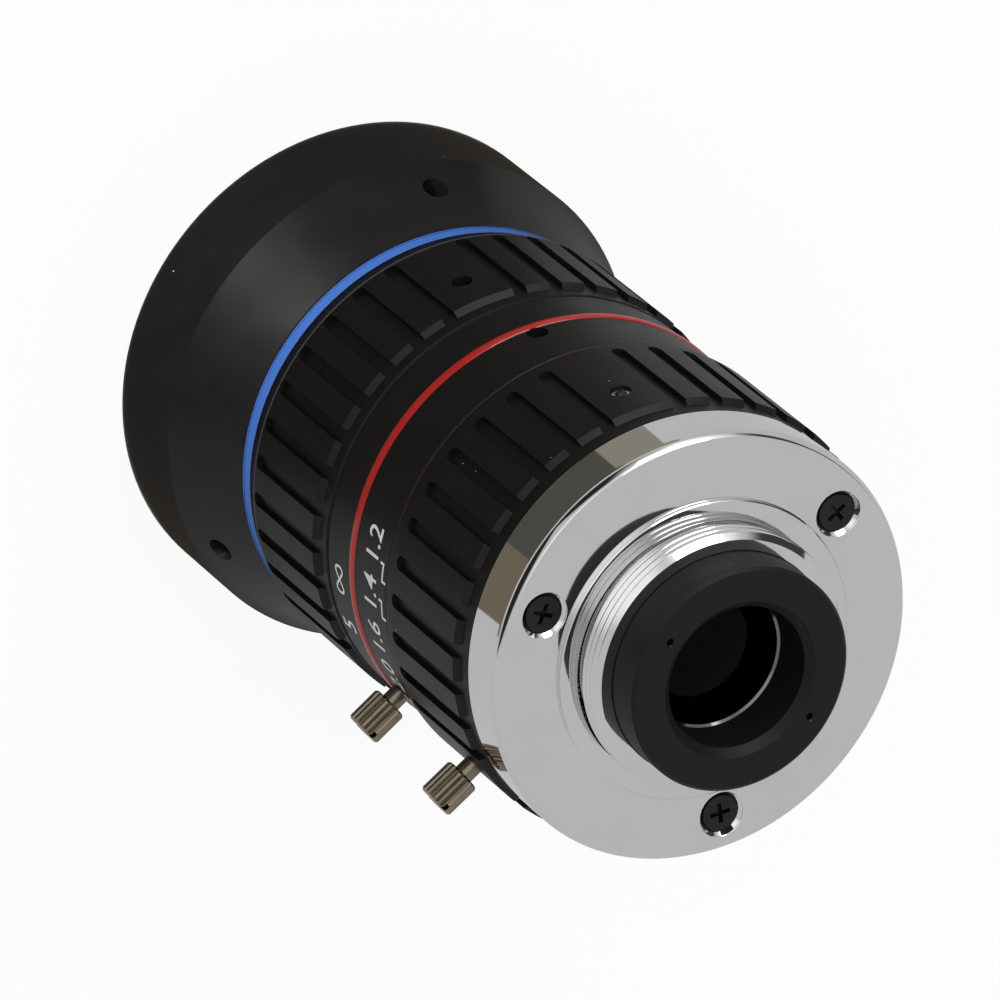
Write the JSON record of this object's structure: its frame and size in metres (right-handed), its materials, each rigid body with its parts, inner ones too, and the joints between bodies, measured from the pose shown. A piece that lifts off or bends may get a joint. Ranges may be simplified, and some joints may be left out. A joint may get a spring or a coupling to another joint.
{
  "type": "machine vision lens",
  "caption": "Fixed focal length lens for an industrial camera, with a screw mount, a focus ring, an iris ring and a flared front.",
  "frame": {"origin": "on the optical axis, in the plane of the raised seat that meets the camera", "axes": "+Z along the optical axis from the front of the lens towards the camera; +X through a mount screw"},
  "size_m": [0.0505, 0.0482, 0.0784],
  "materials": {
    "anodised": "satin black anodised aluminium",
    "bell_black": "matt black anodised aluminium",
    "matt_black": "matt black paint",
    "dark_inside": "matt black anodised aluminium, inner faces",
    "plain_aluminium": "turned",
    "plain_brass": "turned",
    "chrome": "bright chrome plate",
    "nickel": "nickel plate",
    "steel": "bright steel",
    "black_screw": "black oxide steel",
    "blade_steel": "blackened spring steel",
    "glass": "coated optical glass"
  },
  "bodies": {
    "barrel": {"centre_barrel": "anodised", "focus_retaining_ring": "dark_inside", "guide_pins": "steel", "mount_flange": "chrome", "mount_screws": "black_screw", "rear_cell": "matt_black", "rear_lens": "glass", "rear_spacer": "dark_inside", "pair_convex_lens": "glass", "pair_hollow_lens": "glass", "rear_lens_ring": "dark_inside", "iris_cover": "dark_inside", "iris_pivot_plate": "dark_inside", "iris_retaining_ring": "dark_inside"},
    "focus": {"focus_ring": "anodised", "focus_sleeve": "plain_aluminium", "focus_set_screws": "black_screw"},
    "front_group": {"front_bell": "bell_black", "bell_set_screws": "black_screw", "front_barrel": "dark_inside", "front_lens": "glass", "front_lens_ring": "dark_inside", "second_lens": "glass", "second_lens_ring": "dark_inside", "third_lens": "glass", "third_lens_ring": "dark_inside"},
    "iris_drive": {"aperture_ring": "anodised", "iris_drive_screw": "steel", "iris_cam_ring": "plain_brass"},
    "focus_lock": {"focus_lock_screw": "nickel"},
    "iris_lock": {"iris_lock_screw": "nickel"},
    "blade_1": {"iris_blade_1": "blade_steel"},
    "blade_2": {"iris_blade_2": "blade_steel"},
    "blade_3": {"iris_blade_3": "blade_steel"},
    "blade_4": {"iris_blade_4": "blade_steel"},
    "blade_5": {"iris_blade_5": "blade_steel"},
    "blade_6": {"iris_blade_6": "blade_steel"}
  },
  "joints": [
    {"name": "focus_turn", "type": "hinge", "parent": "barrel", "child": "focus", "pos_m": [0, 0, -0.042], "axis": [0, 0, 1], "range_deg": [0, 150]},
    {"name": "front_travel", "type": "slide", "parent": "barrel", "child": "front_group", "axis": [0, 0, -1], "range_m": [0, 0.002]},
    {"name": "aperture_turn", "type": "hinge", "parent": "barrel", "child": "iris_drive", "pos_m": [0, 0, -0.0119], "axis": [0, 0, 1], "range_deg": [-48, 20]},
    {"name": "blade_1_swing", "type": "hinge", "parent": "barrel", "child": "blade_1", "pos_m": [0.0134, 0, -0.0145], "axis": [0, 0, 1], "range_deg": [-18, 7.5]},
    {"name": "blade_2_swing", "type": "hinge", "parent": "barrel", "child": "blade_2", "pos_m": [0.0067, 0.0116, -0.0145], "axis": [0, 0, 1], "range_deg": [-18, 7.5]},
    {"name": "blade_3_swing", "type": "hinge", "parent": "barrel", "child": "blade_3", "pos_m": [-0.0067, 0.0116, -0.0145], "axis": [0, 0, 1], "range_deg": [-18, 7.5]},
    {"name": "blade_4_swing", "type": "hinge", "parent": "barrel", "child": "blade_4", "pos_m": [-0.0134, 0, -0.0145], "axis": [0, 0, 1], "range_deg": [-18, 7.5]},
    {"name": "blade_5_swing", "type": "hinge", "parent": "barrel", "child": "blade_5", "pos_m": [-0.0067, -0.0116, -0.0145], "axis": [0, 0, 1], "range_deg": [-18, 7.5]},
    {"name": "blade_6_swing", "type": "hinge", "parent": "barrel", "child": "blade_6", "pos_m": [0.0067, -0.0116, -0.0145], "axis": [0, 0, 1], "range_deg": [-18, 7.5]},
    {"name": "focus_lock_turn", "type": "hinge", "parent": "barrel", "child": "focus_lock", "pos_m": [-0.022, 0, -0.02795], "axis": [-1, 0, 0], "range_deg": [0, 90]},
    {"name": "iris_lock_turn", "type": "hinge", "parent": "iris_drive", "child": "iris_lock", "pos_m": [-0.022, 0.00023, -0.01195], "axis": [-0.9999, 0.0105, 0], "range_deg": [0, 90]}
  ],
  "couplings": [
    {"joint": "front_travel", "follows": "focus_turn", "m_per_rad": 0.00076394},
    {"joint": "blade_1_swing", "follows": "aperture_turn", "ratio": 0.375},
    {"joint": "blade_2_swing", "follows": "aperture_turn", "ratio": 0.375},
    {"joint": "blade_3_swing", "follows": "aperture_turn", "ratio": 0.375},
    {"joint": "blade_4_swing", "follows": "aperture_turn", "ratio": 0.375},
    {"joint": "blade_5_swing", "follows": "aperture_turn", "ratio": 0.375},
    {"joint": "blade_6_swing", "follows": "aperture_turn", "ratio": 0.375}
  ]
}
